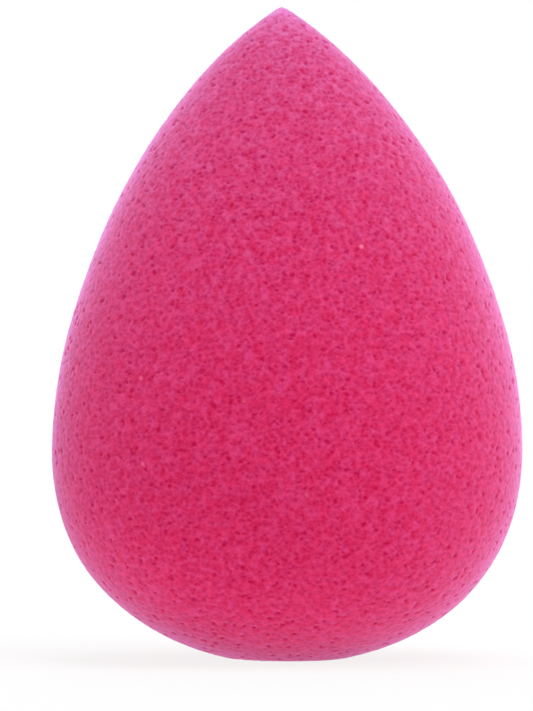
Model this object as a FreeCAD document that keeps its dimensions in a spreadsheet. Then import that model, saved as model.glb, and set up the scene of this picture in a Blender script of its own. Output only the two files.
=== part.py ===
# A teardrop makeup sponge: one solid piece of soft foam, round about its own axis.
#
# Millimetres, +Z up. The origin is the middle of the small flat that the foam stands on,
# and +Z runs along the axis of the teardrop to its tip. The foam is moulded round at its lower
# end and settles by the depth of the flat, so the moulded end lies that much below the origin.
import FreeCAD, Part
import enum
import os
import Sketcher

# Driving sizes: name, value, meaning. Lengths are in millimetres and angles in degrees.
# A fullness share says how far a curve runs straight on before it turns: more is squarer.
SIZES = (
    ("moulded_height", 60.0, "moulded round end to tip"),
    ("belly_diameter", 43.0, "across the widest part of the teardrop"),
    ("belly_height", 19.3, "moulded round end to the widest part"),
    ("tip_radius", 0.6, "rounding of the tip"),
    ("tip_half_angle", 57.5, "from the axis to the flank where it meets the tip"),
    ("rest_flat_depth", 0.5, "how far the round end flattens under the foam's own weight"),
    ("base_fullness_share", 0.555, "round end, of the belly's radius"),
    ("lower_fullness_share", 0.62, "below the belly, of the belly's height"),
    ("upper_fullness_share", 0.395, "above the belly, of the flank's height"),
    ("tip_fullness_share", 0.335, "below the tip, of the flank's height"),
)

# Places on the outline, as expressions of the sizes. Heights count from the moulded round end.
BELLY_RADIUS = "(Sizes.belly_diameter / 2)"
FLANK_HEIGHT = "(Sizes.moulded_height - Sizes.belly_height)"
TIP_REACH = f"({FLANK_HEIGHT} * Sizes.tip_fullness_share)"
TIP_RUN = "(Sizes.tip_radius * cos(Sizes.tip_half_angle))"
TIP_RISE = "(Sizes.moulded_height - Sizes.tip_radius + Sizes.tip_radius * sin(Sizes.tip_half_angle))"
TIP_CENTRE_HEIGHT = "(Sizes.moulded_height - Sizes.tip_radius)"

# The poles of the outline's two cubic curves: name, distance from the axis, height.
# The lower curve leaves the axis level and reaches the belly upright, where the upper one takes over.
LOWER_POLES = (
    ("round_end", "0", "0"),
    ("round_end_pull", f"{BELLY_RADIUS} * Sizes.base_fullness_share", "0"),
    ("under_belly_pull", BELLY_RADIUS, "Sizes.belly_height * (1 - Sizes.lower_fullness_share)"),
    ("belly", BELLY_RADIUS, "Sizes.belly_height"),
)
UPPER_POLES = (
    ("belly", BELLY_RADIUS, "Sizes.belly_height"),
    ("over_belly_pull", BELLY_RADIUS, f"Sizes.belly_height + {FLANK_HEIGHT} * Sizes.upper_fullness_share"),
    (
        "tip_pull",
        f"{TIP_RUN} + {TIP_REACH} * sin(Sizes.tip_half_angle)",
        f"{TIP_RISE} - {TIP_REACH} * cos(Sizes.tip_half_angle)",
    ),
    ("tip_edge", TIP_RUN, TIP_RISE),
)

# How the sketcher numbers its own axes, up to -1, and the points of a piece of geometry, from 1.
# Its origin is the point that the level axis starts from.
UPRIGHT_AXIS, LEVEL_AXIS = enum.IntEnum("AxisOf", "upright level", start=-2)
START, END, CENTRE = enum.IntEnum("PointOf", "start end centre")
ORIGIN = (LEVEL_AXIS, START)
SKETCH_NORMAL = FreeCAD.Vector(0, 0, 1)


def make_sheet(doc):
    """The spreadsheet of driving sizes, one row each: name, value, meaning."""
    sheet = doc.addObject("Spreadsheet::Sheet", "Sizes")
    for row, (name, value, meaning) in enumerate(SIZES, start=1):
        sheet.set(f"A{row}", name)
        sheet.set(f"B{row}", str(value))
        sheet.setAlias(f"B{row}", name)
        sheet.set(f"C{row}", meaning)
    doc.recompute()
    return sheet


def new_sketch(body, name, role):
    """An empty sketch on one of the body's own origin planes."""
    sketch = body.newObject("Sketcher::SketchObject", name)
    plane = next(part for part in body.Origin.OriginFeatures if part.Role == role)
    sketch.AttachmentSupport = [(plane, "")]
    sketch.MapMode = "FlatFace"
    return sketch


def value_of(sketch, expression):
    """What an expression of the sizes comes to now, as a plain number."""
    return float(sketch.evalExpression(expression))


def point_of(sketch, across, up):
    """The sketch point that two expressions of the sizes give."""
    return FreeCAD.Vector(value_of(sketch, across), value_of(sketch, up), 0)


def dimension(sketch, name, kind, where, expression):
    """Adds one named dimension and binds it to an expression of the sizes."""
    value = value_of(sketch, expression)
    sketch.addConstraint(Sketcher.Constraint(kind, *where, value))
    sketch.renameConstraint(sketch.ConstraintCount - 1, name)
    sketch.setExpression(f"Constraints.{name}", expression)


def place_point(sketch, name, geometry, point, across, up):
    """Dimensions a sketch point from the origin. A zero expression puts it on that axis."""
    if across == "0" and up == "0":
        sketch.addConstraint(Sketcher.Constraint("Coincident", geometry, point, *ORIGIN))
        return
    for kind, suffix, expression, axis in (
        ("DistanceX", "across", across, UPRIGHT_AXIS),
        ("DistanceY", "up", up, LEVEL_AXIS),
    ):
        if expression == "0":
            sketch.addConstraint(Sketcher.Constraint("PointOnObject", geometry, point, axis))
        else:
            where = (*ORIGIN, geometry, point)
            dimension(sketch, f"{name}_{suffix}", kind, where, expression)


def add_cubic(sketch, poles, placed):
    """One cubic curve on four poles. Poles that are already placed stay undimensioned."""
    points = [point_of(sketch, across, up) for _, across, up in poles]
    curve = Part.BezierCurve()
    curve.setPoles(points)
    geometry = sketch.addGeometry(curve.toBSpline(), False)
    sketch.exposeInternalGeometry(geometry)
    for step, (name, across, up) in enumerate(poles, start=1):
        if name not in placed:
            place_point(sketch, name, geometry + step, CENTRE, across, up)
            placed.add(name)
    return geometry


def draw_outline(body):
    """Half the teardrop's outline: lower curve, upper curve, rounded tip and the axis."""
    sketch = new_sketch(body, "TeardropOutline", "XZ_Plane")
    sketch.setExpression("AttachmentOffset.Base.y", "-Sizes.rest_flat_depth")
    placed = set()
    lower = add_cubic(sketch, LOWER_POLES, placed)
    upper = add_cubic(sketch, UPPER_POLES, placed)
    sketch.addConstraint(Sketcher.Constraint("Coincident", lower, END, upper, START))

    centre = point_of(sketch, "0", TIP_CENTRE_HEIGHT)
    tip_circle = Part.Circle(centre, SKETCH_NORMAL, value_of(sketch, "Sizes.tip_radius"))
    edge = point_of(sketch, TIP_RUN, TIP_RISE)
    top = point_of(sketch, "0", "Sizes.moulded_height")
    tip_arc = Part.ArcOfCircle(tip_circle, tip_circle.parameter(edge), tip_circle.parameter(top))
    tip = sketch.addGeometry(tip_arc, False)
    sketch.addConstraint(Sketcher.Constraint("Coincident", upper, END, tip, START))
    sketch.addConstraint(Sketcher.Constraint("PointOnObject", tip, CENTRE, UPRIGHT_AXIS))
    sketch.addConstraint(Sketcher.Constraint("PointOnObject", tip, END, UPRIGHT_AXIS))
    dimension(sketch, "tip_rounding", "Radius", (tip,), "Sizes.tip_radius")

    axis = sketch.addGeometry(Part.LineSegment(top, point_of(sketch, "0", "0")), False)
    sketch.addConstraint(Sketcher.Constraint("Coincident", tip, END, axis, START))
    sketch.addConstraint(Sketcher.Constraint("Coincident", axis, END, lower, START))
    return sketch


def draw_rest_flat(body):
    """A round as wide as the belly, level with the flat that the foam stands on."""
    sketch = new_sketch(body, "RestFlatOutline", "XY_Plane")
    middle = FreeCAD.Vector()
    circle = Part.Circle(middle, SKETCH_NORMAL, value_of(sketch, BELLY_RADIUS))
    rim = sketch.addGeometry(circle, False)
    sketch.addConstraint(Sketcher.Constraint("Coincident", rim, CENTRE, *ORIGIN))
    dimension(sketch, "rest_flat_reach", "Radius", (rim,), BELLY_RADIUS)
    return sketch


def make_foam_body(doc):
    """The sponge itself: the outline turned about the axis, then flattened where it stands."""
    body = doc.addObject("PartDesign::Body", "FoamBody")
    body.Label = "foam_body"
    body.Placement = FreeCAD.Placement()

    outline = draw_outline(body)
    teardrop = body.newObject("PartDesign::Revolution", "Teardrop")
    teardrop.Profile = outline
    teardrop.ReferenceAxis = (outline, ["V_Axis"])
    doc.recompute()
    moulded_volume = body.Shape.Volume

    rest_flat = body.newObject("PartDesign::Pocket", "RestFlat")
    rest_flat.Profile = draw_rest_flat(body)
    rest_flat.setExpression("Length", "Sizes.rest_flat_depth")
    doc.recompute()
    if not 0 < body.Shape.Volume < moulded_volume:
        raise RuntimeError("the rest flat cut nothing off the round end")
    return body


def check_document(doc, pieces):
    """Stops before anything is written if an object failed or a piece isn't one sound solid."""
    for part in doc.Objects:
        if {"Invalid", "Error"} & set(part.State):
            raise RuntimeError(f"{part.Label} failed: {part.State}")
    for piece in pieces:
        shape = piece.Shape
        if shape.isNull() or not shape.isValid() or len(shape.Solids) != 1:
            raise RuntimeError(f"{piece.Label} isn't one sound solid")


def write_pieces(pieces):
    """One STEP file for each piece, named by its label, with its size printed."""
    os.makedirs("parts", exist_ok=True)
    for piece in pieces:
        piece.Shape.exportStep(f"parts/{piece.Label}.step")
        solid = piece.Shape.Solids[0]
        box = solid.BoundBox
        print(
            f"{piece.Label}: {box.XLength:.2f} x {box.YLength:.2f} x {box.ZLength:.2f} mm, "
            f"{solid.Volume:.0f} mm3, centre of mass {solid.CenterOfMass.z:.2f} mm up"
        )


def main():
    doc = FreeCAD.newDocument("MakeupSponge")
    make_sheet(doc)
    pieces = [make_foam_body(doc)]
    check_document(doc, pieces)
    write_pieces(pieces)


main()
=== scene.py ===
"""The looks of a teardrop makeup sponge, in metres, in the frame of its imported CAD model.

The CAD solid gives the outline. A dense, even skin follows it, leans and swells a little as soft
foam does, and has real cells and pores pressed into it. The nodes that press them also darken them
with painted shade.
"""

import math

import bpy
import numpy as np
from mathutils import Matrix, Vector


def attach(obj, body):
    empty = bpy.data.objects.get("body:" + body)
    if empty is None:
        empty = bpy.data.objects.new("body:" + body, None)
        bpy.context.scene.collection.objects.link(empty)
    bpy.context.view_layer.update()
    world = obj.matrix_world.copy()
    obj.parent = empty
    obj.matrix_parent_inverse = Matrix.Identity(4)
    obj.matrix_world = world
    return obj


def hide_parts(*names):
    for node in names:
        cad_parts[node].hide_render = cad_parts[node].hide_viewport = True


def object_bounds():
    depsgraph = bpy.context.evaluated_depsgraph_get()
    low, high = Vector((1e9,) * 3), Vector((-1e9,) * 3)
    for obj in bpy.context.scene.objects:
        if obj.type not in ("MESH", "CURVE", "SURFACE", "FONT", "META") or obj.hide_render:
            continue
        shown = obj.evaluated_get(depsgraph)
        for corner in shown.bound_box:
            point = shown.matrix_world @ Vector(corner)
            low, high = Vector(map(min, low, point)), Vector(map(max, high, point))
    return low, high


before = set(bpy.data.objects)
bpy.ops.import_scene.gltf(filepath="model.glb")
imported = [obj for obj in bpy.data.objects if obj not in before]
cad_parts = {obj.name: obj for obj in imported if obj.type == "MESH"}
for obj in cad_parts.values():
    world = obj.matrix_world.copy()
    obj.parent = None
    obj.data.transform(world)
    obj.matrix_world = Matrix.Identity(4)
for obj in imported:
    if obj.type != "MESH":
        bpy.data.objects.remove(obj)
cad_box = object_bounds()

MM = 0.001
WHITE = (1, 1, 1, 1)
SPONGE_HEIGHT = cad_box[1].z - cad_box[0].z

# The photograph, in pixels: its size, and the rows and column that the sponge is lined up by.
PHOTO_WIDTH, PHOTO_HEIGHT = 533, 711
TIP_ROW = 6.5
FLAT_ROW = 658.0
AXIS_COLUMN = 287.3

# The camera is level and faces the photograph's middle. A pixel is as wide as it is at the axis.
PIXEL = SPONGE_HEIGHT / (FLAT_ROW - TIP_ROW)
CAMERA_ACROSS = (PHOTO_WIDTH / 2 - AXIS_COLUMN) * PIXEL
CAMERA_UP = (FLAT_ROW - PHOTO_HEIGHT / 2) * PIXEL
CAMERA_DISTANCE = 0.5
SENSOR_WIDTH = 36.0

# The outline: how many points it has, and the length over which the solid's facets are smoothed out.
# Points of the solid lie on one level where their heights agree to this many decimals.
OUTLINE_STEPS = 3000
OUTLINE_SMOOTHING = 0.5 * MM
LEVEL_DECIMALS = 6

# How the soft foam departs from its moulded shape: the flanks draw in a little and the tip leans.
# Each starts at a share of the sponge's height.
FLANK_SLACK = 0.15 * MM
SLACK_STARTS_SHARE = 0.3
TIP_LEAN = -0.5 * MM
LEAN_STARTS_SHARE = 0.6
LEAN_POWER = 1.5

# The skin is blown up from a cube: the cells along each of its sides, and the margin of each side's
# chart, as a share of the chart.
SIDE_CELLS = 300
CHART_MARGIN_SHARE = 0.002

# The foam's unevenness and holes, in millimetres.
# Cells are the dimples all over the skin. Their rim and floor are shares of their spacing.
# Pores are the burst bubbles that show as dark pits. Their shares are of the largest radius.
SWELL_SPAN, SWELL_HEIGHT = 11.0, 0.25
CELL_SPACING, CELL_DEPTH = 0.52, 0.04
CELL_RIM_SHARE, CELL_FLOOR_SHARE = 0.8, 0.1
PORE_SPACING, PORE_RADIUS, PORE_DEPTH = 0.90, 0.40, 0.09
PORE_SMALLEST_SHARE, PORE_FLOOR_SHARE = 0.5, 0.2

# Holes are read at places that are scaled, and then bent by soft noise. A scale under 1 draws the
# holes out along its axis, and one over 1 makes them shorter.
HOLE_SCALES = (1.0, 0.58, 1.2)
BEND_SPAN, BEND = 0.40, 0.30

# Colours of the foam, in linear light. A share of 0 gives the walls' colour and 1 the pits' colour,
# which is darker partly by the foam's own uneven tone and partly by painted shade in the holes.
WALL = (0.81, 0.050, 0.207, 1)
PIT_TONE_AND_PAINTED_SHADE = (0.61, 0.005, 0.082, 1)
# How far each thing moves the colour towards the pits': the cells and pores paint shade into their
# floors, and the plain share and the grain give the foam's own tone.
PLAIN_TINT, CELL_PAINTED_SHADE, PORE_PAINTED_SHADE, GRAIN_TINT = 0.19, 0.62, 0.5, 1.2

# Fine grain all over the foam: the width and height of its bumps in millimetres, and its detail.
GRAIN_SPAN, GRAIN_HEIGHT, GRAIN_DETAIL = 0.28, 0.03, 2.0

# The dye drifts between two shades that multiply the colour, the first where its noise is low and the
# second where it is high. The noise has a span in millimetres.
WARM = (1.0, 0.7, 0.81, 1)
COOL = (0.99, 1.32, 1.2, 1)
DRIFT_SPAN, DRIFT_DETAIL = 0.9, 1.0
DRIFT_LOW, DRIFT_HIGH = 0.3, 0.7

# Painted light makes the tip paler: what multiplies the colour there, and the power of the height
# that brings it in.
PAINTED_TIP_LIGHT = (
    ((1.02, 2.8, 1.85, 1), 3.0),
    ((1.2, 3.4, 2.5, 1), 45.0),
)

# Pale flecks: the photograph's column and row, and how pale, up to 1. Their radius is in
# millimetres, and their depth is worked out in this many rounds.
FLECKS = (
    (361.5, 246.5, 1.0),
    (143, 464, 0.45),
    (307, 495, 0.4),
    (141, 378, 0.4),
    (243, 401, 0.35),
)
FLECK = (1.0, 0.24, 0.44, 1)
FLECK_RADIUS = 0.34
DEPTH_ROUNDS = 10

# The finish of the foam: the roughness of its walls and pits, and what is the same all over it.
WALL_ROUGHNESS, PIT_ROUGHNESS = 0.65, 0.9
FOAM_FINISH = {
    "Diffuse Roughness": 1.0,
    "Specular IOR Level": 0.05,
    "Sheen Weight": 1.0,
    "Sheen Roughness": 0.42,
    "Sheen Tint": (0.70, 0.42, 0.82, 1),
}

# The floor lies just under the sponge. It glows white for the camera, less so close to the sponge,
# where its own shading keeps the shadow.
FLOOR_RADIUS, FLOOR_SIDES = 4.0, 96
FLOOR_DROP = 0.02 * MM
FLOOR_FINISH = {"Base Color": (0.95, 0.95, 0.95, 1), "Roughness": 1.0}
GLOW_NEAR, GLOW_FAR = 0.05, 0.5
GLOW_NEAR_SHARE = 0.85

# The light: the strength of a white background, of the light that falls from all round, and lamps.
# A lamp has a name, a place, a width, a power in watts, and whether gloss shows it.
WHITE_STRENGTH = 1.0
WORLD_STRENGTH = 0.2
LAMP_TARGET = (0, 0, 0.03)
LAMPS = (
    ("key", (0.35, -0.35, 0.75), 0.5, 2.3, False),
    ("top", (0.05, -0.05, 0.9), 0.5, 2.7, False),
    ("side", (0.75, -0.1, 0.45), 0.5, 1.15, True),
    ("top_back", (0.0, 0.5, 0.75), 0.5, 2.2, False),
    ("back", (0.0, 0.9, 0.3), 0.5, 2.5, False),
    ("low_front", (0.0, -0.9, 0.03), 0.06, 2.0, False),
    ("table", (0.0, 0.0, -FLOOR_DROP / 2), 0.04, 0.00095, False),
    ("low_left", (-0.65, -0.55, 0.03), 0.06, 0.4, False),
)

# The skin's own places in millimetres, which its nodes read, and the map that holds its charts.
PLACE = "skin_mm"
BAKE_MAP = "OFBake"

# The middle of what a noise gives, and the numbers of the sockets that a Mix node uses for colours.
NOISE_MIDDLE = 0.5
MIX_SHARE, MIX_FIRST, MIX_SECOND, MIX_RESULT = 0, 6, 7, 2


def points_of(mesh):
    """A mesh's points, one in each row."""
    points = np.empty(len(mesh.vertices) * 3, np.float32)
    mesh.vertices.foreach_get("co", points)
    return points.reshape(-1, 3)


def smoothed(line, reach):
    """A line of numbers averaged over reach neighbours on each side, with its two ends kept."""
    padded = np.concatenate([
        2 * line[0] - line[reach:0:-1],
        line,
        2 * line[-1] - line[-2:-reach - 2:-1],
    ])
    kernel = np.full(2 * reach + 1, 1 / (2 * reach + 1))
    return np.convolve(padded, kernel, mode="valid")


def risen(height, top, starts_share):
    """How far a height has risen from a share of the top, 0 there and below, to the top, 1."""
    return np.clip(height / top - starts_share, 0, None) / (1 - starts_share)


def outline_of(solid):
    """The foam's distance from the axis and its height, along its outline from the flat to the tip."""
    points = points_of(solid.data).astype(float)
    levels, first = np.unique(points[:, 2].round(LEVEL_DECIMALS), return_index=True)
    across = np.concatenate([[0.0], np.hypot(points[first, 0], points[first, 1])])
    up = np.concatenate([levels[:1], levels])
    along = np.concatenate([[0.0], np.cumsum(np.hypot(np.diff(across), np.diff(up)))])
    even = np.linspace(0.0, along[-1], OUTLINE_STEPS)
    reach = round(OUTLINE_SMOOTHING / even[1])
    across, up = [smoothed(np.interp(even, along, line), reach) for line in (across, up)]
    slack = FLANK_SLACK * np.sin(risen(up, up[-1], SLACK_STARTS_SHARE) * math.pi)
    return np.maximum(across - slack, 0), up


def cube_lattice(cells):
    """Welded corner points of a cube's square cells from -1 to 1, the cells, and their charts.

    The six charts lie side by side in one square, a column for each axis and a row for each end.
    """
    axes, ends = 3, (0, cells)
    steps = np.arange(cells + 1)
    across, up = np.meshgrid(steps, steps, indexing="ij")
    inset = np.stack([across, up], -1) / cells * (1 - 2 * CHART_MARGIN_SHARE) + CHART_MARGIN_SHARE
    sides, charts = [], []
    for axis in range(axes):
        for row, end in enumerate(ends):
            side = np.empty((cells + 1, cells + 1, axes), int)
            side[..., axis] = end
            side[..., (axis + 1) % axes] = across if end else up
            side[..., (axis + 2) % axes] = up if end else across
            sides.append(side)
            charts.append((inset + (axis, row)) / (axes, len(ends)))
    sides, charts = np.stack(sides), np.stack(charts)
    keys = sides @ (cells + 1) ** np.arange(axes)
    _, first, welded = np.unique(keys, return_index=True, return_inverse=True)
    welded = welded.reshape(keys.shape)
    corners = [np.s_[:, :-1, :-1], np.s_[:, 1:, :-1], np.s_[:, 1:, 1:], np.s_[:, :-1, 1:]]
    quads = np.stack([welded[corner] for corner in corners], -1).reshape(-1, len(corners))
    places = np.stack([charts[corner] for corner in corners], -2).reshape(-1, 2)
    points = sides.reshape(-1, axes)[first] / cells * 2 - 1
    return points, quads, places


def skin_points(directions, across, up):
    """Points of the outline's turned skin, spread so that equal areas have equally many cells."""
    steps = np.hypot(np.diff(across), np.diff(up))
    area = np.concatenate([[0.0], np.cumsum((across[1:] + across[:-1]) * steps)])
    share = (directions[:, 2] + 1) / 2
    height = np.interp(share, area / area[-1], up)
    radius = np.interp(share, area / area[-1], across)
    turn = np.arctan2(directions[:, 1], directions[:, 0])
    lean = TIP_LEAN * risen(height, up[-1], LEAN_STARTS_SHARE) ** LEAN_POWER
    return np.stack([radius * np.cos(turn) + lean, radius * np.sin(turn), height], -1)


def add_object(name, data):
    """A new object in the scene."""
    made = bpy.data.objects.new(name, data)
    bpy.context.scene.collection.objects.link(made)
    return made


def make_skin(outline):
    """The smooth skin as a mesh object, with its own places kept in millimetres for the nodes."""
    cube, quads, charts = cube_lattice(SIDE_CELLS)
    directions = np.tan(cube * math.pi / 4)
    directions /= np.linalg.norm(directions, axis=1)[:, None]
    points = skin_points(directions, *outline)
    mesh = bpy.data.meshes.new("foam")
    mesh.from_pydata(points, [], quads)
    mesh.shade_smooth()
    place = mesh.attributes.new(PLACE, "FLOAT_VECTOR", "POINT")
    place.data.foreach_set("vector", (points / MM).ravel())
    chart = mesh.uv_layers.new(name=BAKE_MAP)
    chart.uv.foreach_set("vector", charts.astype(np.float32).ravel())
    return add_object("sponge_foam", mesh)


def add_node(tree, kind, inputs, **settings):
    """A new node with these settings, and each input linked to a socket or set to a value."""
    made = tree.nodes.new(kind)
    for name, value in settings.items():
        setattr(made, name, value)
    for key, value in inputs.items():
        if isinstance(value, bpy.types.NodeSocket):
            tree.links.new(value, made.inputs[key])
        else:
            made.inputs[key].default_value = value
    return made


def maths(tree, operation, *values):
    """The result of a Math node on these values or sockets."""
    return add_node(tree, "ShaderNodeMath", dict(enumerate(values)), operation=operation).outputs[0]


def vectors(tree, operation, *values):
    """A Vector Math node on these values or sockets."""
    return add_node(tree, "ShaderNodeVectorMath", dict(enumerate(values)), operation=operation)


def ramp(tree, value, start, end, low=0.0, high=1.0, kind="LINEAR"):
    """A number that goes from low to high as a value goes from start to end, and no further."""
    limits = {"Value": value, "From Min": start, "From Max": end, "To Min": low, "To Max": high}
    return add_node(tree, "ShaderNodeMapRange", limits, interpolation_type=kind).outputs[0]


def mixed(tree, share, first, second, way="MIX"):
    """A share of the way from one colour to another or, with way MULTIPLY, to their product."""
    inputs = {MIX_SHARE: share, MIX_FIRST: first, MIX_SECOND: second}
    return add_node(tree, "ShaderNodeMix", inputs, data_type="RGBA", blend_type=way).outputs[MIX_RESULT]


def noise(tree, place, span, detail=0.0):
    """A noise node whose bumps are about as wide as span."""
    return add_node(tree, "ShaderNodeTexNoise", {"Vector": place, "Scale": 1 / span, "Detail": detail})


def scaled(tree, place):
    """A place scaled so that the holes read there are low, wide and still longer from front to back."""
    return vectors(tree, "MULTIPLY", place, HOLE_SCALES).outputs[0]


def bent(tree, place):
    """A place shifted by soft noise, so that the holes read there are not quite round."""
    shift = noise(tree, place, BEND_SPAN).outputs["Color"]
    return vectors(tree, "MULTIPLY_ADD", shift, (BEND, BEND, BEND), place).outputs[0]


def bubbles(tree, place, spacing):
    """Distance to the middle of the nearest bubble, as a share of their spacing, and its own chance."""
    cells = add_node(tree, "ShaderNodeTexVoronoi", {"Vector": place, "Scale": 1 / spacing})
    chance = add_node(tree, "ShaderNodeSeparateXYZ", {0: cells.outputs["Color"]}).outputs["X"]
    return cells.outputs["Distance"], chance


def foam_holes(tree, place):
    """How deep a place lies in a cell of the foam and in a pore, each from 0 at its rim to 1."""
    crooked = bent(tree, scaled(tree, place))
    away, _ = bubbles(tree, crooked, CELL_SPACING)
    cell = ramp(tree, away, CELL_RIM_SHARE, CELL_FLOOR_SHARE)
    away, chance = bubbles(tree, crooked, PORE_SPACING)
    widest = PORE_RADIUS / PORE_SPACING
    smallest = widest * PORE_SMALLEST_SHARE
    rim = maths(tree, "MULTIPLY_ADD", chance, widest - smallest, smallest)
    pore = ramp(tree, away, rim, widest * PORE_FLOOR_SHARE, kind="SMOOTHSTEP")
    return cell, pore


def pressing_nodes():
    """Geometry nodes that swell the skin a little and press its cells and pores into it."""
    tree = bpy.data.node_groups.new("press_pores", "GeometryNodeTree")
    tree.is_modifier = True
    for way in ("INPUT", "OUTPUT"):
        tree.interface.new_socket("Geometry", in_out=way, socket_type="NodeSocketGeometry")
    start = tree.nodes.new("NodeGroupInput")
    end = tree.nodes.new("NodeGroupOutput")
    kept = add_node(tree, "GeometryNodeInputNamedAttribute", {"Name": PLACE}, data_type="FLOAT_VECTOR")
    place = kept.outputs[0]
    swell = maths(tree, "SUBTRACT", noise(tree, place, SWELL_SPAN).outputs["Fac"], NOISE_MIDDLE)
    cell, pore = foam_holes(tree, place)
    height = maths(tree, "MULTIPLY", swell, SWELL_HEIGHT * MM)
    height = maths(tree, "MULTIPLY_ADD", cell, -CELL_DEPTH * MM, height)
    height = maths(tree, "MULTIPLY_ADD", pore, -PORE_DEPTH * MM, height)
    normal = tree.nodes.new("GeometryNodeInputNormal").outputs["Normal"]
    offset = vectors(tree, "SCALE", normal)
    tree.links.new(height, offset.inputs["Scale"])
    moves = {"Geometry": start.outputs[0], "Offset": offset.outputs[0]}
    pressed = add_node(tree, "GeometryNodeSetPosition", moves)
    tree.links.new(pressed.outputs[0], end.inputs[0])
    return tree


def press_pores(skin):
    """Gives the skin its unevenness and holes for good, and keeps it above the floor."""
    press = skin.modifiers.new("press_pores", "NODES")
    press.node_group = pressing_nodes()
    done = skin.evaluated_get(bpy.context.evaluated_depsgraph_get())
    mesh = bpy.data.meshes.new_from_object(done)
    skin.modifiers.clear()
    skin.data = mesh
    points = points_of(mesh)
    points[:, 2] = np.maximum(points[:, 2], 0.0)
    mesh.vertices.foreach_set("co", points.ravel())


def on_skin(column, row, outline):
    """Where the skin lies, in millimetres, at a column and row of the photograph.

    A pixel is smaller the nearer the skin is to the camera, so the depth is found in rounds.
    """
    across, up = outline
    depth = 0.0
    for _ in range(DEPTH_ROUNDS):
        scale = PIXEL * (CAMERA_DISTANCE - depth) / CAMERA_DISTANCE
        x = CAMERA_ACROSS + (column - PHOTO_WIDTH / 2) * scale
        z = CAMERA_UP + (PHOTO_HEIGHT / 2 - row) * scale
        depth = math.sqrt(max(np.interp(z, up, across) ** 2 - x ** 2, 0.0))
    return x / MM, -depth / MM, z / MM


def new_material(name):
    """A new material, its nodes and its shader."""
    material = bpy.data.materials.new(name)
    material.use_nodes = True
    return material, material.node_tree, material.node_tree.nodes["Principled BSDF"]


def set_finish(shader, finish):
    """Sets a shader's own inputs, for what is the same all over a surface."""
    for name, value in finish.items():
        shader.inputs[name].default_value = value


def foam_painted_shade_and_tone(tree, place, grain):
    """How deep the foam's colour is at a place, about 0 on a wall and 1 in a pit: painted shade in the
    cells and pores, and the grain's own uneven tone.
    """
    cell, pore = foam_holes(tree, place)
    # The pores and cells paint shade into their floors by how deep a place lies in them.
    painted_shade_and_tone = maths(tree, "MULTIPLY_ADD", pore, PORE_PAINTED_SHADE, PLAIN_TINT)
    painted_shade_and_tone = maths(tree, "MULTIPLY_ADD", cell, CELL_PAINTED_SHADE, painted_shade_and_tone)
    return maths(tree, "MULTIPLY_ADD", maths(tree, "SUBTRACT", grain, NOISE_MIDDLE), GRAIN_TINT, painted_shade_and_tone)


def foam_colour(tree, place, painted_shade_and_tone):
    """Walls and pits in a dye that drifts a little all over, made paler towards the tip by painted
    light.
    """
    drift = noise(tree, place, DRIFT_SPAN, DRIFT_DETAIL).outputs["Fac"]
    shade = mixed(tree, ramp(tree, drift, DRIFT_LOW, DRIFT_HIGH), WARM, COOL)
    colour = mixed(tree, 1.0, mixed(tree, painted_shade_and_tone, WALL, PIT_TONE_AND_PAINTED_SHADE), shade, "MULTIPLY")
    height = add_node(tree, "ShaderNodeSeparateXYZ", {0: place}).outputs["Z"]
    height_share = maths(tree, "DIVIDE", height, SPONGE_HEIGHT / MM)
    # Painted light: the colour gets paler towards the tip.
    for pale, power in PAINTED_TIP_LIGHT:
        paler = mixed(tree, maths(tree, "POWER", height_share, power), WHITE, pale)
        colour = mixed(tree, 1.0, colour, paler, "MULTIPLY")
    return colour


def flecked(tree, place, colour, outline):
    """A colour with pale flecks in it."""
    for column, row, share in FLECKS:
        away = vectors(tree, "DISTANCE", place, on_skin(column, row, outline)).outputs["Value"]
        near = ramp(tree, away, FLECK_RADIUS, 0, high=share, kind="SMOOTHSTEP")
        colour = mixed(tree, near, colour, FLECK)
    return colour


def foam_material(outline):
    """Dyed foam: paler walls, rougher pits darkened by painted shade, fine grain, a tip made paler by
    painted light, and a soft sheen along its edges.
    """
    material, tree, shader = new_material("pink_foam")
    place = add_node(tree, "ShaderNodeAttribute", {}, attribute_name=PLACE).outputs["Vector"]
    grain = noise(tree, scaled(tree, place), GRAIN_SPAN, GRAIN_DETAIL).outputs["Fac"]
    painted_shade_and_tone = foam_painted_shade_and_tone(tree, place, grain)
    bump = add_node(tree, "ShaderNodeBump", {"Height": grain, "Distance": GRAIN_HEIGHT * MM})
    varied = {
        "Base Color": flecked(tree, place, foam_colour(tree, place, painted_shade_and_tone), outline),
        "Normal": bump.outputs[0],
        "Roughness": ramp(tree, painted_shade_and_tone, 0, 1, WALL_ROUGHNESS, PIT_ROUGHNESS),
    }
    for name, socket in varied.items():
        tree.links.new(socket, shader.inputs[name])
    set_finish(shader, FOAM_FINISH)
    return material


def make_camera():
    """A long lens level with the sponge, framed as the photograph is."""
    camera = bpy.data.cameras.new("camera")
    camera.sensor_width = SENSOR_WIDTH
    camera.lens = SENSOR_WIDTH * CAMERA_DISTANCE / (PHOTO_HEIGHT * PIXEL)
    holder = add_object("camera", camera)
    holder.location = (CAMERA_ACROSS, -CAMERA_DISTANCE, CAMERA_UP)
    holder.rotation_euler = (math.pi / 2, 0, 0)
    bpy.context.scene.camera = holder


def shown(tree):
    """1 for the rays of the camera, gloss and glass, which show the background, and 0 for the rest."""
    path = tree.nodes.new("ShaderNodeLightPath")
    seen = path.outputs["Is Camera Ray"]
    for name in ("Is Glossy Ray", "Is Transmission Ray"):
        seen = maths(tree, "MAXIMUM", seen, path.outputs[name])
    return seen


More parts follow.
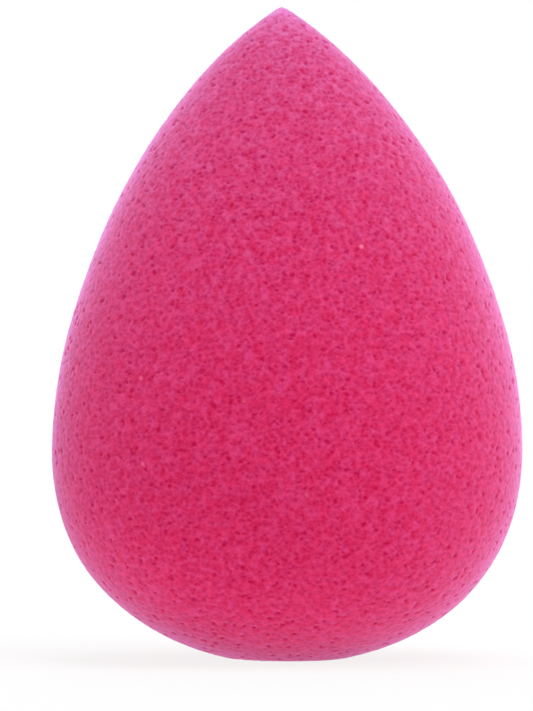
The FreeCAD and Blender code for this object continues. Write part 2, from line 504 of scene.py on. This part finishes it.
def make_world():
    """Even white light from all round, which the camera and the sheen see as plain white."""
    world = bpy.data.worlds.new("studio")
    world.use_nodes = True
    tree = world.node_tree
    background = tree.nodes["Background"]
    background.inputs["Color"].default_value = WHITE
    strength = ramp(tree, shown(tree), 0, 1, WORLD_STRENGTH, WHITE_STRENGTH)
    tree.links.new(strength, background.inputs["Strength"])
    bpy.context.scene.world = world


def floor_material():
    """A pale floor that shows nearly white, and keeps some of the sponge's shadow."""
    material, tree, shader = new_material("floor")
    set_finish(shader, FLOOR_FINISH)
    glow = add_node(tree, "ShaderNodeEmission", {"Color": WHITE, "Strength": WHITE_STRENGTH})
    place = tree.nodes.new("ShaderNodeTexCoord").outputs["Object"]
    reach = vectors(tree, "LENGTH", place).outputs["Value"]
    white = ramp(tree, reach, GLOW_NEAR, GLOW_FAR, low=GLOW_NEAR_SHARE, kind="SMOOTHSTEP")
    share = maths(tree, "MULTIPLY", shown(tree), white)
    mix = add_node(tree, "ShaderNodeMixShader", {0: share, 1: shader.outputs[0], 2: glow.outputs[0]})
    tree.links.new(mix.outputs[0], tree.nodes["Material Output"].inputs["Surface"])
    return material


def make_floor():
    """A wide round floor under the sponge."""
    turns = [2 * math.pi * step / FLOOR_SIDES for step in range(FLOOR_SIDES)]
    rim = [(FLOOR_RADIUS * math.cos(turn), FLOOR_RADIUS * math.sin(turn), -FLOOR_DROP) for turn in turns]
    mesh = bpy.data.meshes.new("floor")
    mesh.from_pydata(rim, [], [range(FLOOR_SIDES)])
    mesh.materials.append(floor_material())
    add_object("floor", mesh)


def make_lamp(name, place, width, power, glossy):
    """A soft square lamp that points at the sponge. The camera doesn't see it."""
    light = bpy.data.lights.new(name, "AREA")
    light.size = width
    light.energy = power
    lamp = add_object(name, light)
    lamp.location = place
    lamp.rotation_mode = "QUATERNION"
    lamp.rotation_quaternion = (Vector(LAMP_TARGET) - Vector(place)).to_track_quat("-Z", "Y")
    lamp.visible_camera = False
    lamp.visible_glossy = glossy


outline = outline_of(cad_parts["foam_body"])
foam = make_skin(outline)
press_pores(foam)
foam.data.materials.append(foam_material(outline))
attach(foam, "root")
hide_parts("foam_body")
make_camera()
make_world()
make_floor()
for lamp in LAMPS:
    make_lamp(*lamp)
bpy.context.scene.view_settings.view_transform = "Standard"
